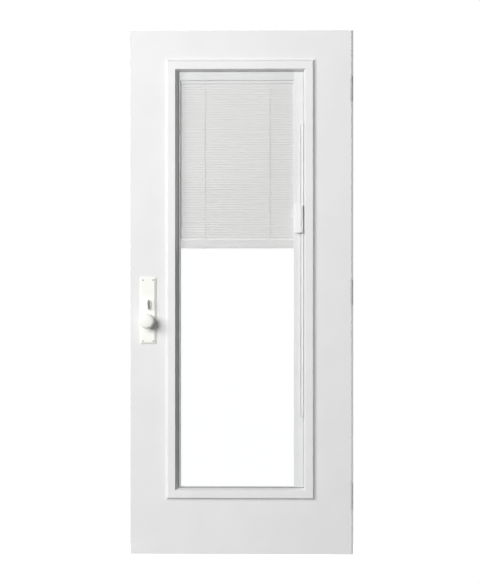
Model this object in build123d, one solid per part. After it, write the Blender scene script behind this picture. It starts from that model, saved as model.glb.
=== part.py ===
from build123d import *
from math import atan, cos, sin, radians
import os

# Entry door slab with a venetian blind sealed inside its insulated glass.
# +X points out of the hinge edge, -Y points into the room and +Z is up.
# The origin lies on the hinge edge's flat face, at the door's foot.

# Door leaf
door_width = 864.0
door_height = 2013.0
door_thickness = 44.5
skin_thickness = 2.0
stile_width = 35.0
rail_height = 38.0
lock_block_width = 90.0
lock_block_height = 350.0

# Hinge mortises, cut for 102 mm hinges, with pilot holes for their screws
hinge_height = 102.0
hinge_end_distance = 172.0
mortise_depth = 2.5
mortise_backset = 6.5
mortise_corner_radius = 6.35
pilot_radius = 1.6
pilot_depth = 25.0
pilot_outer_half_spacing = 38.0
pilot_inner_half_spacing = 16.0
pilot_outer_from_face = 25.5
pilot_inner_from_face = 12.5

# How far a cutting body passes the face that it cuts
overcut = 1.0

# Glazing: how far the daylight of the glass stays from the slab's edges, and the unit
daylight_side_margin = 187.0
daylight_head_margin = 157.0
daylight_foot = 255.0
unit_thickness = 25.4
pane_thickness = 3.2
unit_edge_cover = 15.0
spacer_width = 8.0
spacer_inset = 1.0

# Moulded lite frame, one piece on each face of the door
frame_return_run = 10.0
frame_flat_width = 27.0
frame_slope_run = 12.0
frame_rise = 10.0
frame_edge_height = 1.2
frame_roll_radius = 4.0
frame_nose_radius = 1.2
frame_flange_width = 7.0
unit_side_clearance = 1.0
cutout_clearance = 1.0

# Enclosed blind
cassette_gap = 2.0
left_rail_width = 10.2
channel_width = 44.8
channel_wall = 1.5
cassette_depth = 18.4
headrail_height = 51.0
headrail_lip_height = 13.0
headrail_wall = 1.5
headrail_groove_height = 7.0
headrail_groove_depth = 4.0
headrail_lip_setback = 0.3
sill_height = 12.0
sill_edge = 1.5
slat_width = 12.5
slat_thickness = 0.3
slat_crown = 1.0
slat_pitch = 9.64
slat_count = 62
slat_tilt = 70.0
slat_end_gap = 0.5
slat_row_gap = 0.2
gathered_height = 21.0
bottom_rail_height = 12.0
bottom_rail_radius = 2.0
cord_button_radius = 4.0
cord_button_height = 1.5
ladder_inset = 95.0
ladder_cord_radius = 0.5
ladder_clearance = 0.3

# Operator rail on the room side glass, and its slide handle
track_width = 13.0
track_depth = 4.3
track_wall = 1.5
track_end = 3.0
track_edge_distance = 1.0
track_foot_margin = 276.5
track_head_margin = 202.0
handle_width = 34.5
handle_height = 106.5
handle_depth = 12.5
handle_side_gap = 0.5
handle_below_track_head = 311.3
handle_corner_radius = 8.0
handle_edge = 2.0
handle_slope_run = 7.0
handle_slope_depth = 6.5
handle_undercut = 3.0
handle_grip_depth = 8.0
handle_grip_top = 8.5
handle_grip_slope = 14.0
handle_grip_foot = 17.0
handle_foot_slope = 5.0
shoe_length = 60.0
running_gap = 0.3

# Mortise lock and its long plates
backset = 70.0
knob_height = 896.7
knob_to_turn = 64.3
plate_width = 65.0
plate_height = 258.0
plate_above_lock_middle = 7.6
plate_rim = 1.5
plate_rise = 6.0
plate_bevel_run = 7.5
plate_corner_radius = 3.0
shaft_hole_radius = 15.0
knob_radius = 28.5
knob_projection = 56.0
knob_shank_radius = 11.0
knob_neck_length = 14.0
knob_flare_length = 9.0
knob_shoulder_length = 7.0
knob_dome_drop = 1.2
knob_shank_start = 2.0
knob_flare_share = (0.72, 0.3)
knob_shoulder_share = (0.94, 0.45)
knob_dome_shares = ((0.78, 1.0), (0.4, 0.25))
spindle_side = 8.0
spindle_fit = 0.1
spindle_end_gap = 1.0
turn_rose_radius = 15.0
turn_rose_height = 3.0
turn_rose_edge = 1.0
turn_shaft_radius = 4.0
turn_height_span = 36.0
turn_end_radius = 4.2
turn_waist = 5.6
turn_projection = 27.0
turn_edge = 1.0
shaft_stand_off = 1.0
cylinder_radius = 14.0
cylinder_height = 6.0
cylinder_edge = 1.5
keyway_width = 2.2
keyway_height = 9.0
case_depth = 95.0
case_height = 152.0
case_thickness = 19.0
case_clearance = 0.5
hub_hole_radius = 6.0
faceplate_width = 25.4
faceplate_height = 203.0
faceplate_thickness = 3.0
latch_height = 20.0
latch_width = 12.6
latch_length = 24.0
latch_bevel = 7.5
dead_bolt_height = 26.0
dead_bolt_width = 14.0
dead_bolt_length = 29.0
bolt_clearance = 0.25

# Places worked out from the sizes above
face_y = door_thickness / 2
core_y = face_y - skin_thickness
unit_y = unit_thickness / 2
cavity_y = unit_y - pane_thickness
lock_edge_x = -door_width
lite_left = -door_width + daylight_side_margin
lite_right = -daylight_side_margin
lite_foot = daylight_foot
lite_top = door_height - daylight_head_margin
frame_reach = frame_return_run + frame_flat_width + frame_slope_run
flange_inner = unit_edge_cover + unit_side_clearance
flange_outer = flange_inner + frame_flange_width
cutout_reach = flange_outer + cutout_clearance
cassette_reach = unit_edge_cover - spacer_width - cassette_gap
left_rail_x = lite_left - cassette_reach
slats_left = left_rail_x + left_rail_width + slat_end_gap
channel_x = lite_right + cassette_reach
slats_right = channel_x - channel_width - slat_end_gap
slats_length = slats_right - slats_left
headrail_foot = lite_top + cassette_reach - headrail_height
slat_reach = slat_width / 2 * sin(radians(slat_tilt)) + slat_thickness + slat_row_gap
slats_foot = headrail_foot - 2 * slat_reach - (slat_count - 1) * slat_pitch
ladder_places = [slats_left + ladder_inset, slats_right - ladder_inset]
lock_x = lock_edge_x + backset
hinge_centres = [
    hinge_end_distance + hinge_height / 2,
    door_height / 2,
    door_height - hinge_end_distance - hinge_height / 2,
]
track_right = lite_right - track_edge_distance
track_y = unit_y + track_depth
track_foot = lite_foot + track_foot_margin
track_top = lite_top - track_head_margin
handle_right = lite_right - handle_side_gap
handle_back = track_y + running_gap
handle_top = track_top - handle_below_track_head
handle_centre_height = handle_top - handle_height / 2
lock_block_x = lock_edge_x + stile_width
turn_height = knob_height + knob_to_turn
lock_middle = (knob_height + turn_height) / 2
plate_centre_height = lock_middle + plate_above_lock_middle


def block(x, y, z):
    """A plain block between two places on each axis."""
    size = [abs(high - low) for low, high in (x, y, z)]
    middle = [(low + high) / 2 for low, high in (x, y, z)]
    return Pos(*middle) * Box(*size)


def across(radius, x, z, y_from, y_to):
    """A round bar or hole along Y."""
    middle = Pos(x, (y_from + y_to) / 2, z)
    return middle * Rot(90, 0, 0) * Cylinder(radius, abs(y_to - y_from))


def lite_cutout(y_from, y_to):
    """The opening cut through the slab for the glazing."""
    return block(
        (lite_left - cutout_reach, lite_right + cutout_reach),
        (y_from, y_to),
        (lite_foot - cutout_reach, lite_top + cutout_reach),
    )


def shaft_holes(y_from, y_to):
    """Holes through the slab for the knob spindle and for the turn or the cylinder."""
    knob_hole = across(shaft_hole_radius, lock_x, knob_height, y_from, y_to)
    return knob_hole + across(shaft_hole_radius, lock_x, turn_height, y_from, y_to)


def hinge_mortise(centre):
    """Shallow pocket for one hinge leaf, open on the hinge edge and on the room side."""
    inner_y = face_y - mortise_backset
    pocket = block(
        (-mortise_depth, overcut),
        (-face_y - overcut, inner_y),
        (centre - hinge_height / 2, centre + hinge_height / 2),
    )
    inner_edges = pocket.edges().filter_by(Axis.X).group_by(Axis.Y)[-1]
    return fillet(inner_edges, mortise_corner_radius)


def hinge_pilot_holes(centre):
    """Four pilot holes in the floor of one mortise."""
    places = []
    for side in (-1, 1):
        places.append((pilot_outer_from_face - face_y, side * pilot_outer_half_spacing))
        places.append((pilot_inner_from_face - face_y, side * pilot_inner_half_spacing))
    holes = []
    for y, rise in places:
        middle = Pos(-mortise_depth - (pilot_depth - overcut) / 2, y, centre + rise)
        holes.append(middle * Rot(0, 90, 0) * Cylinder(pilot_radius, pilot_depth + overcut))
    return holes


def lock_pocket():
    """Mortise for the lock case, with the recess of its faceplate."""
    recess = block(
        (lock_edge_x - overcut, lock_edge_x + faceplate_thickness),
        (-faceplate_width / 2, faceplate_width / 2),
        (lock_middle - faceplate_height / 2, lock_middle + faceplate_height / 2),
    )
    half_thickness = case_thickness / 2 + case_clearance
    half_height = case_height / 2 + case_clearance
    return recess + block(
        (lock_edge_x, lock_edge_x + faceplate_thickness + case_depth + case_clearance),
        (-half_thickness, half_thickness),
        (lock_middle - half_height, lock_middle + half_height),
    )


def hinge_stile():
    stile = block((-stile_width, 0), (-core_y, core_y), (0, door_height))
    for centre in hinge_centres:
        stile -= hinge_mortise(centre)
        for hole in hinge_pilot_holes(centre):
            stile -= hole
    return stile


def lock_stile():
    stile = block((lock_edge_x, lock_block_x), (-core_y, core_y), (0, door_height))
    return stile - lock_pocket()


def lock_block():
    body = block(
        (lock_block_x, lock_block_x + lock_block_width),
        (-core_y, core_y),
        (lock_middle - lock_block_height / 2, lock_middle + lock_block_height / 2),
    )
    return body - lock_pocket() - shaft_holes(-core_y, core_y)


def end_rail(foot, top):
    return block((lock_block_x, -stile_width), (-core_y, core_y), (foot, top))


def foam_core():
    core = block(
        (lock_block_x, -stile_width),
        (-core_y, core_y),
        (rail_height, door_height - rail_height),
    )
    notch = block(
        (lock_block_x, lock_block_x + lock_block_width),
        (-core_y, core_y),
        (lock_middle - lock_block_height / 2, lock_middle + lock_block_height / 2),
    )
    return core - lite_cutout(-core_y, core_y) - notch


def skin(side):
    """Moulded face sheet: side is -1 for the room and 1 for outdoors."""
    inner, outer = side * core_y, side * face_y
    sheet = block((lock_edge_x, 0), (inner, outer), (0, door_height))
    sheet -= lite_cutout(inner, outer)
    sheet -= shaft_holes(inner, outer)
    if side < 0:
        for centre in hinge_centres:
            sheet -= hinge_mortise(centre)
    return sheet


def lite_frame(side):
    """One moulded frame: its profile is swept round the daylight with mitred corners."""
    crest = face_y + frame_rise
    lip = face_y + frame_edge_height
    slope_start = frame_return_run + frame_flat_width
    bend = 2 * atan((crest - lip) / frame_slope_run)
    cove_radius = frame_slope_run / sin(bend) - frame_roll_radius

    def roll(angle):
        rise = frame_roll_radius * (1 - cos(angle))
        return (slope_start + frame_roll_radius * sin(angle), crest - rise)

    def cove(angle):
        return (frame_reach - cove_radius * sin(angle), lip + cove_radius * (1 - cos(angle)))

    foot_line = Polyline(
        (0, unit_y),
        (flange_inner, unit_y),
        (flange_inner, 0),
        (flange_outer, 0),
        (flange_outer, face_y),
        (frame_reach, face_y),
        (frame_reach, lip),
    )
    ogee = ThreePointArc(cove(0), cove(bend / 2), roll(bend))
    ogee += ThreePointArc(roll(bend), roll(bend / 2), roll(0))
    face_line = Polyline((slope_start, crest), (frame_return_run, crest), (0, unit_y))
    profile = make_face(foot_line + ogee + face_line)
    nose = profile.vertices().sort_by_distance((frame_return_run, crest))[0]
    profile = fillet(nose, frame_nose_radius)
    start = ((lite_left + lite_right) / 2, 0, lite_foot)
    section = Plane(origin=start, x_dir=(0, 0, -1), z_dir=(side, 0, 0)) * profile
    path = Polyline(
        start,
        (lite_right, 0, lite_foot),
        (lite_right, 0, lite_top),
        (lite_left, 0, lite_top),
        (lite_left, 0, lite_foot),
        close=True,
    )
    return sweep(section, path=Wire(path.edges()), transition=Transition.RIGHT)


def pane(side):
    return block(
        (lite_left - unit_edge_cover, lite_right + unit_edge_cover),
        (side * cavity_y, side * unit_y),
        (lite_foot - unit_edge_cover, lite_top + unit_edge_cover),
    )


def spacers():
    """Four bars that hold the panes apart round their edge."""
    outer = unit_edge_cover - spacer_inset
    inner = outer - spacer_width
    depth = (-cavity_y, cavity_y)
    span = (lite_left - outer, lite_right + outer)
    rise = (lite_foot - inner, lite_top + inner)
    return {
        "spacer_bottom": block(span, depth, (lite_foot - outer, lite_foot - inner)),
        "spacer_top": block(span, depth, (lite_top + inner, lite_top + outer)),
        "spacer_left": block((lite_left - outer, lite_left - inner), depth, rise),
        "spacer_right": block((lite_right + inner, lite_right + outer), depth, rise),
    }


def blind_headrail():
    """Open channel that hides the cords' gear, with a stepped lip along its foot."""
    half = cassette_depth / 2
    top = headrail_foot + headrail_height
    lip_top = headrail_foot + headrail_lip_height
    groove_y = -half + headrail_groove_depth
    outline = Polyline(
        (-half, top),
        (-half, lip_top),
        (groove_y, lip_top),
        (groove_y, lip_top - headrail_groove_height),
        (-half + headrail_lip_setback, lip_top - headrail_groove_height),
        (-half + headrail_lip_setback, headrail_foot),
        (half, headrail_foot),
        (half, top),
        (half - headrail_wall, top),
        (half - headrail_wall, headrail_foot + headrail_wall),
        (groove_y + headrail_wall, headrail_foot + headrail_wall),
        (groove_y + headrail_wall, lip_top + headrail_wall),
        (-half + headrail_wall, lip_top + headrail_wall),
        (-half + headrail_wall, top),
        close=True,
    )
    section = Plane.YZ.offset(slats_left - slat_end_gap) * make_face(outline)
    return extrude(section, slats_length + 2 * slat_end_gap)


def cassette_rail(x_from, x_to):
    """Upright hollow rail at one side of the blind."""
    half = cassette_depth / 2
    rise = (lite_foot - cassette_reach, lite_top + cassette_reach)
    outer = block((x_from, x_to), (-half, half), rise)
    inner = block(
        (x_from + channel_wall, x_to - channel_wall),
        (-half + channel_wall, half - channel_wall),
        rise,
    )
    return outer - inner


def blind_sill():
    foot = lite_foot - cassette_reach
    half = cassette_depth / 2
    bar = block(
        (slats_left - slat_end_gap, slats_right + slat_end_gap),
        (-half, half),
        (foot, foot + sill_height),
    )
    front_edge = bar.edges().filter_by(Axis.X).group_by(Axis.Z)[-1].sort_by(Axis.Y)[0]
    return chamfer(front_edge, sill_edge)


def slat():
    """One crowned slat along X, level, with its middle at the origin."""
    half = slat_width / 2
    under = -slat_thickness
    crown = ThreePointArc((-half, 0), (0, slat_crown), (half, 0))
    belly = ThreePointArc((half, under), (0, slat_crown + under), (-half, under))
    ends = Line((half, 0), (half, under)) + Line((-half, under), (-half, 0))
    section = Plane.YZ * make_face(crown + belly + ends)
    return extrude(section, slats_length)


def blind_slats():
    """The hanging slats, nearly closed, with their room side edges down."""
    model = Rot(slat_tilt, 0, 0) * slat()
    first = headrail_foot - slat_reach
    places = [first - row * slat_pitch for row in range(slat_count)]
    return Compound(children=[Pos(slats_left, 0, z) * model for z in places])


def gathered_slats():
    """Closed stack of the slats that rest on the bottom rail."""
    half = slat_width / 2
    foot = slats_foot - gathered_height
    sides = Polyline(
        (-half, slats_foot - slat_crown), (-half, foot), (half, foot), (half, slats_foot - slat_crown)
    )
    top = ThreePointArc(
        (half, slats_foot - slat_crown), (0, slats_foot), (-half, slats_foot - slat_crown)
    )
    section = Plane.YZ.offset(slats_left) * make_face(sides + top)
    return extrude(section, slats_length)


def blind_bottom_rail():
    top = slats_foot - gathered_height
    half = slat_width / 2
    bar = block((slats_left, slats_right), (-half, half), (top - bottom_rail_height, top))
    lower_edges = bar.edges().filter_by(Axis.X).group_by(Axis.Z)[0]
    bar = fillet(lower_edges, bottom_rail_radius)
    button_z = top - bottom_rail_height - cord_button_height / 2
    for x in ladder_places:
        bar += Pos(x, 0, button_z) * Cylinder(cord_button_radius, cord_button_height)
    return bar


def ladder_cords():
    """Two upright cords on each side of the slats, at each ladder."""
    edge_reach = slat_width / 2 * cos(radians(slat_tilt))
    edge_reach += slat_thickness * sin(radians(slat_tilt))
    cord_y = edge_reach + ladder_clearance + ladder_cord_radius
    length = headrail_foot - slats_foot
    cords = []
    for x in ladder_places:
        for y in (-cord_y, cord_y):
            middle = Pos(x, y, headrail_foot - length / 2)
            cords.append(middle * Cylinder(ladder_cord_radius, length))
    return Compound(children=cords)


def operator_rail():
    """Shallow channel on the glass, closed at both ends, in which the handle's shoe slides."""
    x = (track_right - track_width, track_right)
    z = (track_foot, track_top)
    rail = block(x, (-track_y, -unit_y), z)
    groove = block(
        (x[0] + track_wall, x[1] - track_wall),
        (-track_y, -unit_y - track_wall),
        (z[0] + track_end, z[1] - track_end),
    )
    return rail - groove


def operator_handle():
    """Slide handle, sloped and scalloped down its right side, and the shoe behind it."""
    left = handle_right - handle_width
    foot = handle_top - handle_height
    front = -handle_back - handle_depth
    section = Polyline(
        (left, -handle_back),
        (left, front + handle_edge),
        (left + handle_edge, front),
        (handle_right - handle_slope_run, front),
        (handle_right, front + handle_slope_depth),
        (handle_right - handle_undercut, -handle_back),
        close=True,
    )
    body = extrude(Plane.XY.offset(foot) * make_face(section), handle_height)
    grip_x = handle_right - handle_grip_depth
    grip_foot = foot + handle_grip_foot
    slope_top = handle_centre_height + handle_grip_top
    outside = handle_right + overcut
    grip = Polyline(
        (handle_right, slope_top),
        (grip_x, slope_top - handle_grip_slope),
        (grip_x, grip_foot),
        (handle_right, grip_foot - handle_foot_slope),
        (outside, grip_foot - handle_foot_slope),
        (outside, slope_top),
        close=True,
    )
    corner_x = handle_right - handle_corner_radius
    corner_z = handle_top - handle_corner_radius
    corner_reach = handle_corner_radius * sin(radians(45))
    corner = ThreePointArc(
        (handle_right, corner_z), (corner_x + corner_reach, corner_z + corner_reach), (corner_x, handle_top)
    )
    corner += Polyline((corner_x, handle_top), (handle_right, handle_top), (handle_right, corner_z))
    plane = Plane(origin=(0, -handle_back, 0), x_dir=(1, 0, 0), z_dir=(0, -1, 0))
    for outline in (grip, corner):
        body -= extrude(plane * make_face(outline), handle_depth)
    shoe = block(
        (track_right - track_width + track_wall + running_gap,
         track_right - track_wall - running_gap),
        (-handle_back, -unit_y - track_wall - running_gap),
        (handle_centre_height - shoe_length / 2, handle_centre_height + shoe_length / 2),
    )
    return body + shoe


def escutcheon(side, upper_hole_radius):
    """Long plate with a bevelled border, and holes for the knob and what is above it."""
    def outline(inset, height):
        face = RectangleRounded(
            plate_width - 2 * inset, plate_height - 2 * inset, plate_corner_radius
        )
        middle = (lock_x, side * (face_y + height), plate_centre_height)
        return Plane(origin=middle, x_dir=(1, 0, 0), z_dir=(0, side, 0)) * face

    rim = extrude(outline(0, 0), plate_rim)
    field = loft([outline(0, plate_rim).faces()[0], outline(plate_bevel_run, plate_rise).faces()[0]])
    plate = rim + field
    y = (side * face_y, side * (face_y + plate_rise + overcut))
    plate -= across(knob_shank_radius + running_gap, lock_x, knob_height, *y)
    return plate - across(upper_hole_radius, lock_x, turn_height, *y)


def knob(side):
    """Turned knob with a short neck, a flared back, an eased rim and a low domed front."""
    neck = plate_rise + knob_neck_length
    rim_back = neck + knob_flare_length
    rim_front = knob_projection - knob_shoulder_length
    flare_out, flare_along = knob_flare_share
    shoulder_out, shoulder_along = knob_shoulder_share
    points = [
        (0, knob_projection),
        (0, knob_shank_start),
        (knob_shank_radius, knob_shank_start),
        (knob_shank_radius, neck),
        (knob_radius * flare_out, neck + knob_flare_length * flare_along),
        (knob_radius, rim_back),
        (knob_radius, rim_front),
        (knob_radius * shoulder_out, knob_projection - knob_shoulder_length * shoulder_along),
    ]
    for out, along in knob_dome_shares:
        points.append((knob_radius * out, knob_projection - knob_dome_drop * along))
    profile = make_face(Polyline(*points, close=True))
    body = revolve(profile, Axis.Y)
    socket_side = spindle_side + 2 * spindle_fit
    body -= Pos(0, neck / 2, 0) * Box(socket_side, neck, socket_side)
    turned = Rot(0, 0, 0 if side > 0 else 180) * body
    return Pos(lock_x, side * face_y, knob_height) * turned


def knob_spindle():
    half = spindle_side / 2
    reach = face_y + plate_rise + knob_neck_length - spindle_end_gap
    return block(
        (lock_x - half, lock_x + half), (-reach, reach), (knob_height - half, knob_height + half)
    )


def turn_rose():
    """Low round boss on the room side plate, round the turn's shaft."""
    y = -(face_y + plate_rise)
    disc = across(turn_rose_radius, lock_x, turn_height, y, y - turn_rose_height)
    disc = chamfer(disc.edges().filter_by(GeomType.CIRCLE).sort_by(Axis.Y)[0], turn_rose_edge)
    hole_radius = turn_shaft_radius + running_gap
    return disc - across(hole_radius, lock_x, turn_height, y, y - turn_rose_height)


def thumb_turn():
    """Waisted paddle on a round shaft, upright when the dead bolt is drawn."""
    rose_top = face_y + plate_rise + turn_rose_height
    end = turn_height_span / 2 - turn_end_radius
    waist = turn_waist / 2
    right_side = Polyline(
        (turn_end_radius, end), (waist, end / 4), (waist, -end / 4), (turn_end_radius, -end)
    )
    left_side = Polyline(
        (-turn_end_radius, -end), (-waist, -end / 4), (-waist, end / 4), (-turn_end_radius, end)
    )
    tip = end + turn_end_radius
    upper = ThreePointArc((turn_end_radius, end), (0, tip), (-turn_end_radius, end))
    lower = ThreePointArc((-turn_end_radius, -end), (0, -tip), (turn_end_radius, -end))
    outline = make_face(right_side + left_side + upper + lower)
    back = rose_top + running_gap
    origin = (lock_x, -back, turn_height)
    section = Plane(origin=origin, x_dir=(1, 0, 0), z_dir=(0, -1, 0)) * outline
    paddle = extrude(section, face_y + turn_projection - back)
    front = paddle.faces().sort_by(Axis.Y)[0]
    paddle = chamfer(front.edges(), turn_edge)
    shaft_end = -case_thickness / 2 - shaft_stand_off
    shaft = across(turn_shaft_radius, lock_x, turn_height, -back - turn_edge, shaft_end)
    return paddle + shaft


def key_cylinder():
    """Lock cylinder on the outdoor plate, with its keyway."""
    y = face_y + plate_rise
    inner_end = case_thickness / 2 + shaft_stand_off
    body = across(cylinder_radius, lock_x, turn_height, inner_end, y + cylinder_height)
    body = chamfer(body.edges().filter_by(GeomType.CIRCLE).sort_by(Axis.Y)[-1], cylinder_edge)
    return body - block(
        (lock_x - keyway_width / 2, lock_x + keyway_width / 2),
        (y, y + cylinder_height + overcut),
        (turn_height - keyway_height / 2, turn_height + keyway_height / 2),
    )


def bolt(width, height, length, centre):
    """A bolt drawn back flush with the faceplate."""
    return block(
        (lock_edge_x, lock_edge_x + length),
        (-width / 2, width / 2),
        (centre - height / 2, centre + height / 2),
    )


def latch_bolt():
    body = bolt(latch_width, latch_height, latch_length, knob_height)
    nose = body.edges().filter_by(Axis.Z).group_by(Axis.X)[0].sort_by(Axis.Y)[0]
    return chamfer(nose, latch_bevel)


def bolt_pockets():
    """Room for the two bolts in the faceplate and the case."""
    grown = 2 * bolt_clearance
    latch = bolt(latch_width + grown, latch_height + grown, latch_length + grown, knob_height)
    return latch + bolt(
        dead_bolt_width + grown, dead_bolt_height + grown, dead_bolt_length + grown, turn_height
    )


def lock_faceplate():
    plate = block(
        (lock_edge_x, lock_edge_x + faceplate_thickness),
        (-faceplate_width / 2, faceplate_width / 2),
        (lock_middle - faceplate_height / 2, lock_middle + faceplate_height / 2),
    )
    return plate - bolt_pockets()


def lock_case():
    half = case_thickness / 2
    front = lock_edge_x + faceplate_thickness
    case = block(
        (front, front + case_depth),
        (-half, half),
        (lock_middle - case_height / 2, lock_middle + case_height / 2),
    )
    case -= bolt_pockets()
    return case - across(hub_hole_radius, lock_x, knob_height, -half, half)


parts = {
    "hinge_stile": hinge_stile(),
    "lock_stile": lock_stile(),
    "lock_block": lock_block(),
    "top_rail": end_rail(door_height - rail_height, door_height),
    "bottom_rail": end_rail(0, rail_height),
    "foam_core": foam_core(),
    "interior_skin": skin(-1),
    "exterior_skin": skin(1),
    "lock_case": lock_case(),
    "lock_faceplate": lock_faceplate(),
    "latch_bolt": latch_bolt(),
    "dead_bolt": bolt(dead_bolt_width, dead_bolt_height, dead_bolt_length, turn_height),
    "interior_lite_frame": lite_frame(-1),
    "exterior_lite_frame": lite_frame(1),
    "interior_glass": pane(-1),
    "exterior_glass": pane(1),
    "blind_headrail": blind_headrail(),
    "blind_left_rail": cassette_rail(left_rail_x, left_rail_x + left_rail_width),
    "blind_right_channel": cassette_rail(channel_x - channel_width, channel_x),
    "blind_sill": blind_sill(),
    "blind_slats": blind_slats(),
    "gathered_slats": gathered_slats(),
    "blind_bottom_rail": blind_bottom_rail(),
    "ladder_cords": ladder_cords(),
    "operator_rail": operator_rail(),
    "operator_handle": operator_handle(),
    "interior_escutcheon": escutcheon(-1, turn_shaft_radius + running_gap),
    "exterior_escutcheon": escutcheon(1, cylinder_radius + running_gap),
    "interior_knob": knob(-1),
    "exterior_knob": knob(1),
    "knob_spindle": knob_spindle(),
    "thumb_turn_rose": turn_rose(),
    "thumb_turn": thumb_turn(),
    "key_cylinder": key_cylinder(),
}
parts.update(spacers())

os.makedirs("parts", exist_ok=True)
for name, shape in parts.items():
    export_step(shape, f"parts/{name}.step")
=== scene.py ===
import math

import bpy
from mathutils import Matrix, Vector


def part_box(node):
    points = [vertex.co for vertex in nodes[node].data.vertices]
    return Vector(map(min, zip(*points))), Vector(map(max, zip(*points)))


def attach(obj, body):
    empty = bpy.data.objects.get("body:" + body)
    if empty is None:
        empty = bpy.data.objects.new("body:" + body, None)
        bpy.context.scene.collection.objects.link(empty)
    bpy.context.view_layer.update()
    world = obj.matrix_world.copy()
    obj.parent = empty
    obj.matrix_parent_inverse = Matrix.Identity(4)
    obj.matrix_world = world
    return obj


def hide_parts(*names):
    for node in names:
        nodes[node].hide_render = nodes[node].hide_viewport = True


# Entry door slab with a venetian blind sealed inside its insulated glass, seen from
# the room side. +X points out of the hinge edge, -Y into the room and +Z up.
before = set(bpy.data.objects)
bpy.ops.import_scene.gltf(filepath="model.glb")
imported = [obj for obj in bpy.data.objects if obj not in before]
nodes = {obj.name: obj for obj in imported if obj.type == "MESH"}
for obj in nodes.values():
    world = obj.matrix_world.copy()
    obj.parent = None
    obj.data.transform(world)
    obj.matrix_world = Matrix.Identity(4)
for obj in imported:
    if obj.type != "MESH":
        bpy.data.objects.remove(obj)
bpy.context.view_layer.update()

# The photograph's view
# The camera is level with the middle of the door and turned a little towards the
# hinge edge, which shows as a thin strip. It stands so far off that all edges stay level.
view_turn = math.radians(10.8)
view_target = Vector((-0.439, 0.0, 1.008))
view_height = 2.2457
lens = 1000.0
sensor = 36.0
camera_data = bpy.data.cameras.new("photograph_view")
camera_data.sensor_fit = "VERTICAL"
camera_data.sensor_height = sensor
camera_data.lens = lens
camera_data.clip_end = 400.0
camera = bpy.data.objects.new("photograph_view", camera_data)
bpy.context.scene.collection.objects.link(camera)
view_back = Vector((math.sin(view_turn), -math.cos(view_turn), 0.0))
camera.location = view_target + view_back * (lens * view_height / sensor)
camera.rotation_euler = (math.radians(90), 0.0, view_turn)
bpy.context.scene.camera = camera

# The studio
# A wide softbox stands in front on the left and a smaller one further round. A strip
# lights the hinge edge, one lamp the far side, and the wall behind the door is white.
bpy.context.scene.view_settings.view_transform = "Standard"


def linear(code):
    """An sRGB hex colour as the linear colour that the nodes take."""
    channels = [int(code[i:i + 2], 16) / 255 for i in (1, 3, 5)]
    return tuple(
        c / 12.92 if c <= 0.04045 else ((c + 0.055) / 1.055) ** 2.4 for c in channels
    ) + (1.0,)


def add(tree, kind, settings=(), links=()):
    """Adds a node, sets its sockets or properties, and links sockets into it."""
    new = tree.nodes.new(kind)
    for name, value in dict(settings).items():
        if name in new.inputs:
            new.inputs[name].default_value = value
        else:
            setattr(new, name, value)
    for name, socket in dict(links).items():
        tree.links.new(socket, new.inputs[name])
    return new


def softbox(name, place, aim, width, height, power):
    """A flat light of that width and height that faces its aim."""
    data = bpy.data.lights.new(name, "AREA")
    data.shape = "RECTANGLE"
    data.size = width
    data.size_y = height
    data.energy = power
    light = bpy.data.objects.new(name, data)
    bpy.context.scene.collection.objects.link(light)
    light.location = place
    light.rotation_euler = (Vector(aim) - Vector(place)).to_track_quat("-Z", "Y").to_euler()


softbox("key_softbox", (-4.4, -9.2, 3.9), view_target, 5.0, 5.0, 820.0)
softbox("side_softbox", (-5.6, -3.6, 3.0), view_target, 2.4, 2.4, 142.0)
softbox("edge_strip", (4.0, 0.2, 1.0), (0.0, 0.0, 1.0), 0.12, 1.8, 80.0)
softbox("rear_softbox", (-3.2, 5.6, 3.6), view_target, 2.4, 2.4, 200.0)
room = bpy.data.worlds.new("white_room")
room.use_nodes = True
room_tree = room.node_tree
room_tree.nodes.clear()
direction = add(room_tree, "ShaderNodeTexCoord")
axes = add(room_tree, "ShaderNodeSeparateXYZ", {}, {"Vector": direction.outputs["Generated"]})
lit_wall = add(
    room_tree, "ShaderNodeMapRange",
    {"From Min": 0.82, "From Max": 0.93, "To Min": 0.06, "To Max": 1.03},
    {"Value": axes.outputs["Y"]},
)
surround = add(
    room_tree, "ShaderNodeBackground", {"Color": (1.0, 1.0, 1.0, 1.0)},
    {"Strength": lit_wall.outputs["Result"]},
)
add(room_tree, "ShaderNodeOutputWorld", {}, {"Surface": surround.outputs["Background"]})
bpy.context.scene.world = room


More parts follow.
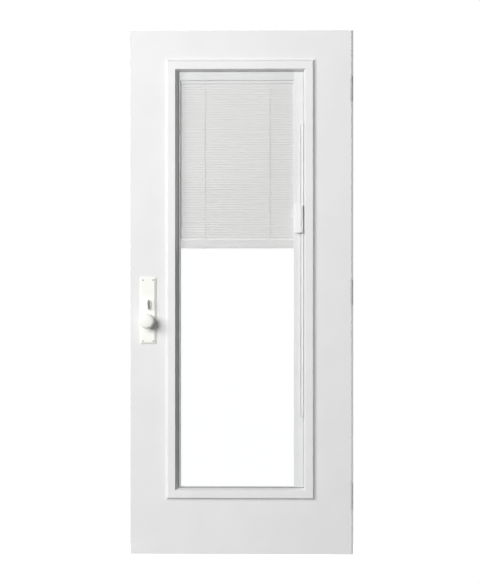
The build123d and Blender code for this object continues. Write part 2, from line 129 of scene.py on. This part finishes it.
def surface(
    name, tones, drift, rough=None, spots=None, relief=None, depth=0.0, sockets=(),
    ends=(0.35, 0.65),
):
    """A material whose tones, roughness and relief each follow a pattern.

    A pattern gives its size in millimetres, and its texture, settings and stretch where
    they are not the usual ones. The relief is as deep as depth says, in metres.
    """
    made = bpy.data.materials.new(name)
    made.use_nodes = True
    tree = made.node_tree
    tree.nodes.clear()
    place = add(tree, "ShaderNodeTexCoord").outputs["Object"]
    shader = add(tree, "ShaderNodeBsdfPrincipled", sockets)
    add(tree, "ShaderNodeOutputMaterial", {}, {"Surface": shader.outputs["BSDF"]})
    fields = []
    for pattern in filter(None, (drift, spots, relief)):
        settings = {} if "texture" in pattern else {"Detail": 2.0, "Roughness": 0.55}
        settings.update(pattern)
        kind, output = settings.pop("texture", ("ShaderNodeTexNoise", "Fac"))
        stretch = settings.pop("stretch", (1.0, 1.0, 1.0))
        settings["Scale"] = 1000.0 / settings.pop("size")
        stretched = add(tree, "ShaderNodeMapping", {"Scale": stretch}, {"Vector": place})
        texture = add(tree, kind, settings, {"Vector": stretched.outputs["Vector"]})
        fields.append(texture.outputs[output])
    ramp = add(tree, "ShaderNodeValToRGB", {}, {"Fac": fields[0]})
    for element, position, code in zip(ramp.color_ramp.elements, ends, tones):
        element.position = position
        element.color = linear(code)
    tree.links.new(ramp.outputs["Color"], shader.inputs["Base Color"])
    if rough:
        varied = add(
            tree, "ShaderNodeMapRange", {"To Min": rough[0], "To Max": rough[1]},
            {"Value": fields[1]},
        )
        tree.links.new(varied.outputs["Result"], shader.inputs["Roughness"])
    if relief:
        raised = add(
            tree, "ShaderNodeBump", {"Strength": 0.6, "Distance": depth}, {"Height": fields[2]}
        )
        tree.links.new(raised.outputs["Normal"], shader.inputs["Normal"])
    return made


def dress(material, *names):
    """Gives CAD nodes their material."""
    for name in names:
        mesh = nodes[name].data
        mesh.materials.clear()
        mesh.materials.append(material)


# The floor gives off its own white, and its bounce is off, as the door in the
# photograph is not lit from below.
floor_size = 4.4
bpy.ops.object.select_all(action="DESELECT")
bpy.ops.mesh.primitive_plane_add(size=floor_size, location=(-0.43, 0.4, 0.0))
bpy.ops.object.transform_apply(location=True)
floor = bpy.context.active_object
floor.name = "studio_floor"
floor.visible_diffuse = False
paper = surface(
    "white_paper_sweep", ("#f6f6f6", "#fafafa"), {"size": 400.0}, (0.8, 0.9), {"size": 25.0},
    {"size": 3.0}, 0.0001, {"Emission Color": (1.0, 1.0, 1.0, 1.0)},
)
tree = paper.node_tree
# The floor glows more behind the door than in front: painted light that washes out the door's
# shadow on the floor there.
spot = add(
    tree, "ShaderNodeSeparateXYZ", {},
    {"Vector": tree.nodes["Texture Coordinate"].outputs["Object"]},
)
painted_light_behind = add(
    tree, "ShaderNodeMapRange",
    {"From Min": -0.1, "From Max": 0.15, "To Min": 0.6, "To Max": 0.8},
    {"Value": spot.outputs["Y"]},
)
tree.links.new(
    painted_light_behind.outputs["Result"], tree.nodes["Principled BSDF"].inputs["Emission Strength"]
)
floor.data.materials.append(paper)

# Face skins
# The two skins are compression-moulded glass-fibre sheet about 2 mm thick, sprayed with
# white paint. It gives an even satin face with a trace of orange peel.
skin_paint = surface(
    "sprayed_glass_fibre_skin", ("#eeeeee", "#f1f1f1"), {"size": 180.0}, (0.42, 0.5),
    {"size": 40.0}, {"size": 1.6}, 0.00004, {"IOR": 1.5},
)
dress(skin_paint, "interior_skin", "exterior_skin")

# Stiles, rails and lock block
# The slab's wooden edge is planed softwood, primed and painted white. The grain runs
# along each piece and just shows through the paint as fine raised lines.
for name, stretch, pieces in (
    ("painted_softwood_upright", (1.0, 1.0, 0.03), ("hinge_stile", "lock_stile")),
    ("painted_softwood_level", (0.03, 1.0, 1.0), ("top_rail", "bottom_rail")),
):
    grain = {"size": 4.0, "Detail": 6.0, "stretch": stretch}
    dress(
        surface(
            name, ("#e3e2de", "#efeeeb"), grain, (0.5, 0.62), {"size": 30.0}, grain, 0.0002
        ),
        *pieces,
    )

# The block behind the lock is left bare, so it keeps the colour of sawn pine.
grain = {"size": 5.0, "Detail": 6.0, "stretch": (1.0, 1.0, 0.04)}
sawn_pine = surface(
    "bare_sawn_pine", ("#c9a46c", "#e2c48f"), grain, (0.65, 0.8), {"size": 20.0}, grain, 0.0004
)
dress(sawn_pine, "lock_block")

# Foam core
# Rigid polyurethane foam is blown between the skins. Its cut cells are under a
# millimetre across, and it is a dull cream yellow.
cells = {"size": 0.9, "texture": ("ShaderNodeTexVoronoi", "Distance")}
blown_foam = surface(
    "rigid_polyurethane_foam", ("#d9cf9f", "#efe8c4"), cells, (0.85, 0.95), {"size": 15.0},
    cells, 0.0003, ends=(0.1, 0.6),
)
dress(blown_foam, "foam_core")

# Lite frames
# Each frame is injection-moulded white plastic with an ogee outer edge, screwed
# through from the other side. It is satin, with a fine even mould texture.
frame_plastic = surface(
    "moulded_frame_plastic", ("#efefef", "#f2f2f2"), {"size": 120.0}, (0.36, 0.44),
    {"size": 25.0}, {"size": 0.9}, 0.00003, {"IOR": 1.5},
)
dress(frame_plastic, "interior_lite_frame", "exterior_lite_frame")

# Glass
# Two panes of clear float glass, 3.2 mm thick, are sealed round the blind. They are
# all but invisible face on, and mirror more at a shallow angle.
float_glass = surface(
    "clear_float_glass", ("#e4efec", "#eaf3f0"), {"size": 300.0},
    sockets={"Roughness": 0.02, "IOR": 1.52},
)
tree = float_glass.node_tree
facing = add(tree, "ShaderNodeLayerWeight", {"Blend": 0.08})
cover = add(
    tree, "ShaderNodeMapRange", {"To Min": 0.02, "To Max": 0.3},
    {"Value": facing.outputs["Fresnel"]},
)
tree.links.new(cover.outputs["Result"], tree.nodes["Principled BSDF"].inputs["Alpha"])
dress(float_glass, "interior_glass", "exterior_glass")

# Glazing seals
# A soft grey lip seal of extruded rubber runs round each frame where it meets the glass.
# Its grey is also painted shade for the dark line there. It shows under a millimetre at
# the sides and head, and 3 mm along the sill.
lip_seal_and_painted_shade = surface(
    "grey_lip_seal_and_painted_shade", ("#86888a", "#969899"), {"size": 12.0}, (0.55, 0.7),
    {"size": 6.0}, {"size": 0.8}, 0.00005,
)
frame_low, frame_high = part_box("interior_lite_frame")
frame_reach = 0.049
seal_width = 0.003
seal_rise = 0.0012
side_width = 0.0008


def glazing_seal(name, glass_face, outward):
    """A flat ring inside the frame's edge, narrowed off the sill, thickened and eased."""
    left, right = frame_low.x + frame_reach, frame_high.x - frame_reach
    foot, top = frame_low.z + frame_reach, frame_high.z - frame_reach
    middle = Vector(((left + right) / 2, glass_face, (foot + top) / 2))
    bpy.ops.object.select_all(action="DESELECT")
    bpy.ops.mesh.primitive_plane_add(size=1.0, rotation=(math.pi / 2, 0.0, 0.0))
    ring = bpy.context.active_object
    ring.name = name
    ring.scale = (right - left, top - foot, 1.0)
    bpy.ops.object.transform_apply(rotation=True, scale=True)
    ring.data.transform(Matrix.Translation(middle))
    bpy.ops.object.mode_set(mode="EDIT")
    bpy.ops.mesh.select_all(action="SELECT")
    bpy.ops.mesh.inset(thickness=seal_width)
    bpy.ops.mesh.delete(type="FACE")
    bpy.ops.object.mode_set(mode="OBJECT")
    for vertex in ring.data.vertices:
        if abs(vertex.co.x - middle.x) < (right - left) / 2 - seal_width / 2:
            vertex.co.x = right - side_width if vertex.co.x > middle.x else left + side_width
            if vertex.co.z > middle.z:
                vertex.co.z = top - side_width
    bpy.ops.object.mode_set(mode="EDIT")
    bpy.ops.mesh.select_all(action="SELECT")
    bpy.ops.mesh.extrude_region_move(
        TRANSFORM_OT_translate={"value": (0.0, outward * seal_rise, 0.0)}
    )
    bpy.ops.mesh.select_all(action="SELECT")
    bpy.ops.mesh.normals_make_consistent(inside=False)
    bpy.ops.object.mode_set(mode="OBJECT")
    lip = ring.modifiers.new("rounded_lip", "BEVEL")
    lip.width = 0.0003
    lip.segments = 2
    bpy.ops.object.modifier_apply(modifier=lip.name)
    bpy.ops.object.shade_smooth_by_angle(angle=math.radians(40))
    ring.data.materials.append(lip_seal_and_painted_shade)
    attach(ring, "door")


glazing_seal("interior_glazing_seal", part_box("interior_glass")[0].y, -1)
glazing_seal("exterior_glazing_seal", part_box("exterior_glass")[1].y, 1)

# Spacer bars
# Roll-formed aluminium tube keeps the panes apart. It is mill finish, a dull silver
# with fine drawn lines along it.
drawn = {"size": 0.8, "Detail": 3.0, "stretch": (0.05, 1.0, 0.05)}
mill_aluminium = surface(
    "roll_formed_aluminium", ("#b4b6b8", "#c9cbcd"), drawn, (0.3, 0.42), {"size": 10.0},
    drawn, 0.00005, {"Metallic": 1.0},
)
dress(mill_aluminium, "spacer_bottom", "spacer_top", "spacer_left", "spacer_right")

# Blind cassette
# The head rail, side rails, sill and bottom rail are extruded aluminium, coated white
# with a low sheen. The two upright ones are painted whiter than the rest: painted light
# that lifts them out of the shade beside the frame.


def extrusion_coat(name, dark, light):
    """Sprayed powder of a low sheen, with a fine even texture."""
    return surface(
        name, (dark, light), {"size": 90.0}, (0.38, 0.46), {"size": 20.0}, {"size": 1.0}, 0.00003
    )


extrusion_white = extrusion_coat("coated_aluminium_extrusion", "#dcdcdc", "#e1e1e1")
dress(extrusion_white, "blind_sill", "blind_bottom_rail")
# The channel and left rail take lighter coats: painted light against the shade beside the frame.
dress(extrusion_coat("painted_light_channel_coat", "#ebebeb", "#efefef"), "blind_right_channel")
dress(extrusion_coat("painted_light_left_rail_coat", "#fafafa", "#fefefe"), "blind_left_rail")


def drawn_prism(name, corners, travel):
    """Joins corners into a closed outline, fills it and draws it out by the travel."""
    bpy.ops.object.select_all(action="DESELECT")
    bpy.ops.mesh.primitive_plane_add(size=0.01)
    made = bpy.context.active_object
    made.name = name
    bpy.ops.object.mode_set(mode="EDIT")
    bpy.ops.mesh.select_all(action="SELECT")
    bpy.ops.mesh.merge(type="CENTER")
    bpy.ops.transform.translate(value=corners[0])
    for here, there in zip(corners, corners[1:]):
        bpy.ops.mesh.extrude_region_move(
            TRANSFORM_OT_translate={"value": tuple(t - h for h, t in zip(here, there))}
        )
    bpy.ops.mesh.select_all(action="SELECT")
    bpy.ops.mesh.edge_face_add()
    bpy.ops.mesh.extrude_region_move(TRANSFORM_OT_translate={"value": travel})
    bpy.ops.mesh.select_all(action="SELECT")
    bpy.ops.mesh.normals_make_consistent(inside=False)
    bpy.ops.object.mode_set(mode="OBJECT")
    return made


# The head rail is an open channel. A deep groove runs along its front above a lip that
# stands back, close to the slats, and the groove holds the one dark line of the rail.
head_low, head_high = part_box("blind_headrail")
rail_wall = 0.0015
lip_face, groove_back = -0.004, -0.0022
lip_top, groove_top = head_low.z + 0.005, head_low.z + 0.0115
inside_back, inside_foot = head_high.y - rail_wall, head_low.z + rail_wall
profile = [
    (head_low.y, head_high.z), (head_low.y, groove_top), (groove_back, groove_top),
    (groove_back, lip_top), (lip_face, lip_top), (lip_face, head_low.z),
    (head_high.y, head_low.z), (head_high.y, head_high.z), (inside_back, head_high.z),
    (inside_back, inside_foot), (groove_back + rail_wall, inside_foot),
    (groove_back + rail_wall, groove_top + rail_wall),
    (head_low.y + rail_wall, groove_top + rail_wall), (head_low.y + rail_wall, head_high.z),
]
headrail = drawn_prism(
    "headrail_extrusion", [(head_low.x, y, z) for y, z in profile],
    (head_high.x - head_low.x, 0.0, 0.0),
)
broken = headrail.modifiers.new("broken_edges", "BEVEL")
broken.width = 0.0003
broken.segments = 2
bpy.ops.object.modifier_apply(modifier=broken.name)
headrail.data.materials.append(extrusion_white)
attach(headrail, "door")
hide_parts("blind_headrail")

# Hanging slats
# Sixty-two crowned slats of 0.3 mm aluminium strip hang nearly closed. Their white
# coating is rolled on, so its faint lines run along each slat.


def strip_coat(name, dark, light):
    """A rolled coat with faint lines along the strip."""
    rolled = {"size": 2.0, "Detail": 3.0, "stretch": (0.02, 1.0, 1.0)}
    return surface(name, (dark, light), rolled, (0.36, 0.46), {"size": 14.0}, rolled, 0.00003)


dress(strip_coat("coated_slat_strip", "#dadad9", "#e0e0df"), "blind_slats")

# Gathered slats
# The slats that are not needed at this height lie nested on the bottom rail. Each is
# the same strip, laid level, so the stack shows only the strips' slit edges. Their coat
# is lighter than the hanging slats': painted light against the shade between the strips.


def join_all(copies, name):
    """Joins the copies of one piece into one mesh of that name."""
    bpy.ops.object.select_all(action="DESELECT")
    for copy in copies:
        copy.select_set(True)
    bpy.context.view_layer.objects.active = copies[0]
    bpy.ops.object.join()
    copies[0].name = name
    return copies[0]


stack_low, stack_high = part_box("gathered_slats")
strip_width = stack_high.y - stack_low.y
strip_crown = 0.001
strip_thickness = 0.00033
strip_pitch = 0.00036
strip_waver = 0.0003
waver_step = 2.1
bend_radius = ((strip_width / 2) ** 2 + strip_crown ** 2) / (2 * strip_crown)
strip_length = stack_high.x - stack_low.x
stack_count = int((stack_high.z - stack_low.z - strip_crown - strip_thickness) / strip_pitch) + 1
bpy.ops.object.select_all(action="DESELECT")
bpy.ops.mesh.primitive_cylinder_add(
    vertices=128, radius=bend_radius, depth=strip_length, end_fill_type="NOTHING",
    rotation=(0.0, math.pi / 2, 0.0),
)
strip = bpy.context.active_object
bpy.ops.object.transform_apply(rotation=True)
bpy.ops.object.mode_set(mode="EDIT")
bpy.ops.mesh.select_all(action="SELECT")
bpy.ops.mesh.bisect(
    plane_co=(0.0, 0.0, bend_radius - strip_crown), plane_no=(0.0, 0.0, 1.0), clear_inner=True
)
bpy.ops.object.mode_set(mode="OBJECT")
wall = strip.modifiers.new("strip_wall", "SOLIDIFY")
wall.thickness = strip_thickness
wall.offset = -1.0
bpy.ops.object.modifier_apply(modifier=wall.name)
strip_drop = bend_radius - strip_crown - strip_thickness
strip_middle = Vector(((stack_low.x + stack_high.x) / 2, (stack_low.y + stack_high.y) / 2, 0.0))
layers = []
for layer in range(stack_count):
    copy = strip.copy()
    copy.data = strip.data.copy()
    bpy.context.scene.collection.objects.link(copy)
    rise = stack_low.z + layer * strip_pitch - strip_drop
    shift = strip_middle + Vector((strip_waver * math.sin(layer * waver_step), 0.0, rise))
    copy.data.transform(Matrix.Diagonal((0.998, 0.99, 1.0, 1.0)))
    copy.data.transform(Matrix.Translation(shift))
    layers.append(copy)
bpy.data.objects.remove(strip)
slat_stack = join_all(layers, "nested_slat_stack")
bpy.ops.object.shade_smooth_by_angle(angle=math.radians(40))
slat_stack.data.materials.clear()
# The stack's lighter coat is painted light against the shade between the nested strips.
slat_stack.data.materials.append(strip_coat("painted_light_slat_stack", "#eaeae9", "#f0f0ef"))
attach(slat_stack, "door")
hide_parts("gathered_slats")

# Ladders
# A braided polyester ladder holds the slats at each end: one cord down either side
# of them, and a fine rung from cord to cord between every two slats.
braid = {
    "size": 1.2, "texture": ("ShaderNodeTexWave", "Fac"), "Distortion": 1.5,
    "bands_direction": "Z",
}
ladder_cord = surface(
    "braided_polyester_cord", ("#f2f1ef", "#fefdfb"), braid, (0.7, 0.85), {"size": 5.0},
    braid, 0.0002, {"Sheen Weight": 0.3},
)
dress(ladder_cord, "ladder_cords")
cord_low, cord_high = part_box("ladder_cords")
slat_low, slat_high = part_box("blind_slats")
slat_count = 62
slat_tilt = math.radians(70.0)
slat_width = 0.0125
rung_radius = 0.00025
cord_radius = 0.0005
slat_half_rise = slat_width / 2 * math.sin(slat_tilt)
rung_step = (slat_high.z - slat_low.z - 2 * slat_half_rise) / (slat_count - 1)
rung_reach = (cord_high.y - cord_low.y) / 2 - cord_radius
bpy.ops.object.select_all(action="DESELECT")
bpy.ops.mesh.primitive_cylinder_add(vertices=5, radius=rung_radius, depth=2 * rung_reach)
rung = bpy.context.active_object
bpy.ops.object.mode_set(mode="EDIT")
bpy.ops.mesh.select_all(action="SELECT")
bpy.ops.mesh.subdivide(number_cuts=1)
bpy.ops.object.mode_set(mode="OBJECT")
rung.data.transform(Matrix.Rotation(math.pi / 2, 4, "X"))
rungs = []
for ladder_x in (cord_low.x + cord_radius, cord_high.x - cord_radius):
    for step in range(slat_count - 1):
        copy = rung.copy()
        copy.data = rung.data.copy()
        bpy.context.scene.collection.objects.link(copy)
        rise = slat_high.z - slat_half_rise - (step + 0.5) * rung_step
        copy.data.transform(Matrix.Translation((ladder_x, 0.0, rise)))
        rungs.append(copy)
bpy.data.objects.remove(rung)
ladder_rungs = join_all(rungs, "ladder_rungs")
ladder_rungs.data.materials.append(ladder_cord)
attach(ladder_rungs, "door")

# Operator rail and slide handle
# The rail is extruded and the handle moulded in white plastic, which takes in a little
# light. The handle is the whiter of the two, with a gentle slope down its right side.


def white_plastic(name, dark, light, rough, milky):
    """Glossy plastic that lets a little light soak through it."""
    return surface(
        name, (dark, light), {"size": 30.0}, rough, {"size": 8.0}, {"size": 0.7}, 0.00002,
        {
            "IOR": 1.49, "Subsurface Weight": milky, "Subsurface Radius": (1.0, 1.0, 1.0),
            "Subsurface Scale": 0.006,
        },
    )


rail_plastic = white_plastic("extruded_rail_plastic", "#eeeeee", "#f2f2f2", (0.3, 0.38), 0.2)
handle_plastic = white_plastic("moulded_handle_plastic", "#fcfcfc", "#ffffff", (0.24, 0.34), 0.15)
dress(rail_plastic, "operator_rail")


def combine(body, tool, operation):
    """Applies a boolean to a body and removes its tool.

    The solver leaves the vertices in no fixed order and a bevel follows their order, so
    they are sorted, for the same result each run.
    """
    step = body.modifiers.new("shaping", "BOOLEAN")
    step.operation = operation
    step.object = tool
    step.solver = "EXACT"
    bpy.context.view_layer.objects.active = body
    bpy.ops.object.modifier_apply(modifier=step.name)
    bpy.data.objects.remove(tool)
    bpy.ops.object.mode_set(mode="EDIT")
    bpy.ops.mesh.select_all(action="SELECT")
    bpy.ops.mesh.sort_elements(type="CURSOR_DISTANCE", elements={"VERT", "EDGE", "FACE"})
    bpy.ops.object.mode_set(mode="OBJECT")


handle_low, handle_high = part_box("operator_handle")
rail_low, rail_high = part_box("operator_rail")
left, right = handle_low.x, handle_high.x
foot, top = handle_low.z, handle_high.z
rail_gap = 0.0003
front, back = handle_low.y, rail_low.y - rail_gap
ease = 0.002
slope_run, slope_fall = 0.009, 0.0022
handle = drawn_prism(
    "operator_handle_moulding",
    [(left, back, foot), (left, front + ease, foot), (left + ease, front, foot),
     (right - slope_run, front, foot), (right, front + slope_fall, foot),
     (right - ease, back, foot)],
    (0.0, 0.0, top - foot),
)

# Its top right corner is cut round. The tool reaches past the handle on every side.
corner_radius = 0.008
tool_past = 0.001
corner = [
    (right - corner_radius * (1 - math.cos(turn)), back + tool_past,
     top - corner_radius * (1 - math.sin(turn)))
    for turn in (math.pi / 12 * step for step in range(7))
]
waste = [
    (right - corner_radius, back + tool_past, top + tool_past),
    (right + tool_past, back + tool_past, top + tool_past),
    (right + tool_past, back + tool_past, top - corner_radius),
]
corner_tool = drawn_prism(
    "corner_waste", corner + waste, (0.0, front - back - 2 * tool_past, 0.0)
)
combine(handle, corner_tool, "DIFFERENCE")

# The finger recess is a shallow pocket in the slope, and its ends run out to the side.
recess_depth = 0.0028
recess_left, recess_right = right - 0.0065, right + 0.002
mouth_foot, mouth_top = foot + 0.011, foot + 0.0645
floor_foot, floor_top = foot + 0.017, foot + 0.04775
tool_front = front - tool_past
recess = drawn_prism(
    "finger_recess",
    [(recess_right, tool_front, mouth_foot), (recess_left, tool_front, floor_foot),
     (recess_left, tool_front, floor_top), (recess_right, tool_front, mouth_top)],
    (0.0, recess_depth + front - tool_front, 0.0),
)
combine(handle, recess, "DIFFERENCE")

# The shoe on its back is the block that runs between the rail's lips.
lip_clearance = 0.0018
shoe_half = 0.03
shoe_overlap = 0.001
shoe_left, shoe_right = rail_low.x + lip_clearance, rail_high.x - lip_clearance
shoe_foot, shoe_top = (foot + top) / 2 - shoe_half, (foot + top) / 2 + shoe_half
shoe = drawn_prism(
    "handle_shoe",
    [(shoe_left, handle_high.y, shoe_foot), (shoe_right, handle_high.y, shoe_foot),
     (shoe_right, handle_high.y, shoe_top), (shoe_left, handle_high.y, shoe_top)],
    (0.0, back - shoe_overlap - handle_high.y, 0.0),
)
combine(handle, shoe, "UNION")
eased = handle.modifiers.new("eased_edges", "BEVEL")
eased.width = 0.0006
eased.segments = 2
eased.angle_limit = math.radians(25)
bpy.ops.object.modifier_apply(modifier=eased.name)
handle.data.materials.clear()
handle.data.materials.append(handle_plastic)
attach(handle, "blind_operator")
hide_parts("operator_handle")

# Lock plates, thumb turn and its rose
# The trim is pressed and cast metal under a thick cream white enamel. It has a soft
# sheen, with a slight waviness where the enamel has run on the bevels.
trim_enamel = surface(
    "cream_white_enamel", ("#fefef7", "#fffffb"), {"size": 35.0}, (0.4, 0.5), {"size": 12.0},
    {"size": 6.0}, 0.00005, {"Coat Weight": 0.1, "Coat Roughness": 0.2},
)
dress(trim_enamel, "interior_escutcheon", "exterior_escutcheon", "thumb_turn_rose", "thumb_turn")

# Knobs
# Each knob is turned in one piece: a shank through the plate, a flare and a drum with
# an eased rim and a low crowned front, enamelled like the plate. Its outline is a list
# of radii with their reach from the slab's face.


def lathe(name, profile, axis_point, steps):
    """Spins a profile of (radius, y) points about the Y line through a point."""
    bpy.ops.object.select_all(action="DESELECT")
    bpy.ops.mesh.primitive_plane_add(size=0.01)
    turned = bpy.context.active_object
    turned.name = name
    bpy.ops.object.mode_set(mode="EDIT")
    bpy.ops.mesh.select_all(action="SELECT")
    bpy.ops.mesh.merge(type="CENTER")
    bpy.ops.transform.translate(value=(profile[0][0], profile[0][1], 0.0))
    for (r0, y0), (r1, y1) in zip(profile, profile[1:]):
        bpy.ops.mesh.extrude_region_move(
            TRANSFORM_OT_translate={"value": (r1 - r0, y1 - y0, 0.0)}
        )
    bpy.ops.mesh.select_all(action="SELECT")
    bpy.ops.mesh.spin(steps=steps, angle=2 * math.pi, center=(0, 0, 0), axis=(0, 1, 0))
    bpy.ops.mesh.select_all(action="SELECT")
    bpy.ops.mesh.remove_doubles(threshold=0.000005)
    bpy.ops.mesh.normals_make_consistent(inside=False)
    bpy.ops.object.mode_set(mode="OBJECT")
    turned.data.transform(Matrix.Translation(axis_point))
    bpy.ops.object.shade_smooth_by_angle(angle=math.radians(35))
    return turned


knob_radius = 0.0285
slab_face = 0.02225
for side, name in ((-1, "interior_knob"), (1, "exterior_knob")):
    low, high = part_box(name)
    axis_x, axis_z = (low.x + high.x) / 2, (low.z + high.z) / 2
    outline = [
        (0.0, 0.0560), (0.0090, 0.0559), (0.0170, 0.0556), (0.0225, 0.0551),
        (0.0254, 0.0542), (0.0273, 0.0526), (0.0282, 0.0505), (knob_radius, 0.0480),
        (knob_radius, 0.0320), (0.0279, 0.0292), (0.0262, 0.0268), (0.0234, 0.0248),
        (0.0198, 0.0232), (0.0160, 0.0221), (0.0128, 0.0212), (0.0110, 0.0200),
        (0.0110, 0.0020), (0.0058, 0.0020), (0.0058, 0.0200), (0.0, 0.0200),
    ]
    turned = lathe(
        name + "_turned", [(radius, side * reach) for radius, reach in outline],
        (axis_x, side * slab_face, axis_z), 72,
    )
    turned.data.materials.append(trim_enamel)
    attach(turned, "knobs")
    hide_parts(name)

# Plate screws
# Four oval-headed screws hold each plate. Their heads are coloured grey as painted
# shade for the shadow in their slots and round each head, so they show as small grey dots.
plate_low, plate_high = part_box("interior_escutcheon")
plate_x = (plate_low.x + plate_high.x) / 2
plate_z = (plate_low.z + plate_high.z) / 2
head_radius = 0.0030
head_rise = 0.0008
head_foot = 0.0008
blade_size = (0.008, 0.0010, 0.0008)
# The grey of the heads is painted shade for the shadow in the slots and round the heads.
screw_painted_shade = surface(
    "painted_shade_screw_heads", ("#9a9a94", "#b4b4ae"), {"size": 3.0}, (0.35, 0.5), {"size": 2.0},
    {"size": 1.0}, 0.00003,
)


def plate_screw(name, place_at, side, slot_turn):
    """An oval head with a sawn slot, its foot a little way into what it holds."""
    head = lathe(
        name,
        [(0.0, side * head_rise), (0.0012, side * head_rise * 0.9),
         (0.0022, side * head_rise * 0.55), (head_radius, 0.0),
         (head_radius, -side * head_foot), (0.0, -side * head_foot)],
        (0.0, 0.0, 0.0), 20,
    )
    bpy.ops.object.select_all(action="DESELECT")
    bpy.ops.mesh.primitive_cube_add(size=1.0, scale=blade_size)
    blade = bpy.context.active_object
    blade.data.transform(blade.matrix_world)
    blade.matrix_world = Matrix.Identity(4)
    blade.data.transform(
        Matrix.Translation((0.0, side * head_rise, 0.0)) @ Matrix.Rotation(slot_turn, 4, "Y")
    )
    combine(head, blade, "DIFFERENCE")
    head.data.transform(Matrix.Translation(place_at))
    head.data.materials.clear()
    head.data.materials.append(screw_painted_shade)
    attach(head, "door")


screw_across, screw_up = 0.020, 0.1173
for side, plate in ((-1, "interior"), (1, "exterior")):
    low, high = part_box(plate + "_escutcheon")
    field_y = low.y if side < 0 else high.y
    number = 0
    for up in (-1, 1):
        for across in (-1, 1):
            number += 1
            spot = (plate_x + across * screw_across, field_y, plate_z + up * screw_up)
            plate_screw(f"{plate}_plate_screw_{number}", spot, side, 0.5 * number)

# Lock case, bolts, spindle, faceplate and cylinder
# The case, faceplate, bolts and spindle are plated steel, and the key cylinder is
# satin brass. Their brushed lines run up the edge of the door.


def brushed(name, dark, light, rough):
    """Bare or plated metal with fine upright lines."""
    lines = {"size": 0.6, "Detail": 3.0, "stretch": (1.0, 1.0, 0.04)}
    return surface(
        name, (dark, light), lines, rough, {"size": 9.0}, lines, 0.00004, {"Metallic": 1.0}
    )


plated_steel = brushed("satin_plated_steel", "#a9a9a6", "#c3c3c0", (0.28, 0.4))
satin_brass = brushed("satin_brass", "#b79b5b", "#d3b877", (0.25, 0.36))
dress(plated_steel, "lock_case", "knob_spindle", "lock_faceplate", "latch_bolt", "dead_bolt")
dress(satin_brass, "key_cylinder")
